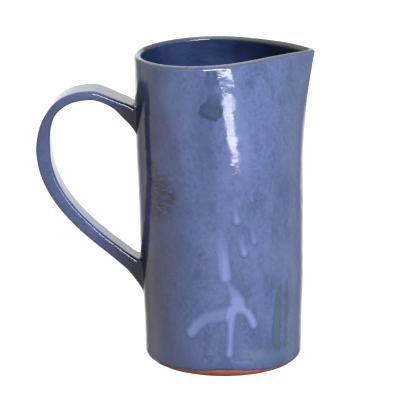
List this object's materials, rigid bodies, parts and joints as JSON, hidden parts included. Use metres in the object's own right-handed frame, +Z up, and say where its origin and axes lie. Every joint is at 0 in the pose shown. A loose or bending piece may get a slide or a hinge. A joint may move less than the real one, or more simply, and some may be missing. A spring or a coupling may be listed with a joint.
{
  "type": "pitcher",
  "caption": "Tall glazed earthenware pitcher with a pinched pouring spout, a pulled strap handle and a bare clay foot.",
  "frame": {"origin": "centre of the foot, on the surface that the pitcher stands on", "axes": "+Z up, +X towards the spout, -X towards the handle"},
  "size_m": [0.1841, 0.1112, 0.2118],
  "materials": {
    "terracotta": "matte",
    "blue_glaze": "gloss",
    "liner_glaze": "gloss"
  },
  "bodies": {
    "root": {"base_slab": "terracotta", "body_wall": "terracotta", "floor_seam_coil": "terracotta", "handle_strap": "terracotta", "handle_upper_fillet": "terracotta", "handle_lower_fillet": "terracotta", "outer_glaze": "blue_glaze", "inner_glaze": "liner_glaze", "handle_glaze": "blue_glaze"}
  },
  "joints": []
}
